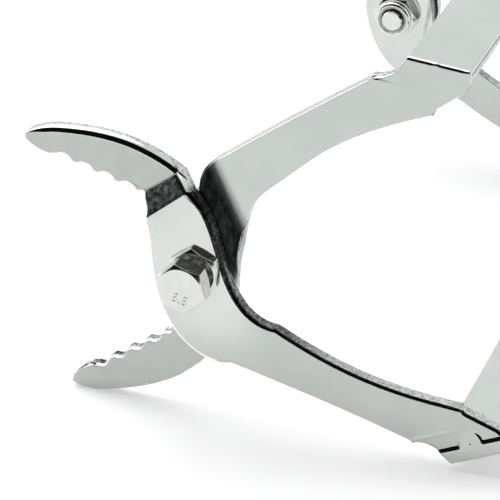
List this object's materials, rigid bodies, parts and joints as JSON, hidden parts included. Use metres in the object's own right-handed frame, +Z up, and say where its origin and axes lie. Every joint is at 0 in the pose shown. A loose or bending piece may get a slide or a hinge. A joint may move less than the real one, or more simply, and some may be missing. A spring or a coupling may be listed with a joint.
{
  "type": "nutcracker",
  "caption": "Squeeze nutcracker of two folded sheet-steel frames that cross at bolted pivots, with a toothed jaw pair at one side and flat straps to squeeze.",
  "frame": {"origin": "on the table, under the centre of the box, with the open tool lying on its lower jaw and the edge of its lower strap", "axes": "+X from the jaws to the straps, +Y from the front pivot to the rear pivot, +Z up from the table"},
  "size_m": [0.1098, 0.1718, 0.0901],
  "materials": {
    "bright_plate": "bright plated pressed sheet steel, with greyer sheared edges",
    "bolt_plate": "plated hexagon hardware, slightly satin",
    "washer_steel": "plain turned washers",
    "nylon": "off-white nylon"
  },
  "bodies": {
    "upper_jaw_side": {"upper_jaw_frame": "bright_plate", "front_pivot_bolt": "bolt_plate", "front_jam_nut": "bolt_plate", "front_wear_washer": "washer_steel", "front_thrust_washer": "washer_steel", "front_lock_nut": "bolt_plate", "front_lock_nut_insert": "nylon"},
    "lower_jaw_side": {"lower_jaw_frame": "bright_plate", "rear_pivot_bolt": "bolt_plate", "rear_jam_nut": "bolt_plate", "rear_wear_washer": "washer_steel", "rear_thrust_washer": "washer_steel", "rear_lock_nut": "bolt_plate", "rear_lock_nut_insert": "nylon"}
  },
  "joints": [
    {"name": "jaw_hinge", "type": "hinge", "parent": "upper_jaw_side", "child": "lower_jaw_side", "pos_m": [-0.01437, -0.07175, 0.03714], "axis": [0, 1, 0], "range_deg": [0, 58]}
  ]
}
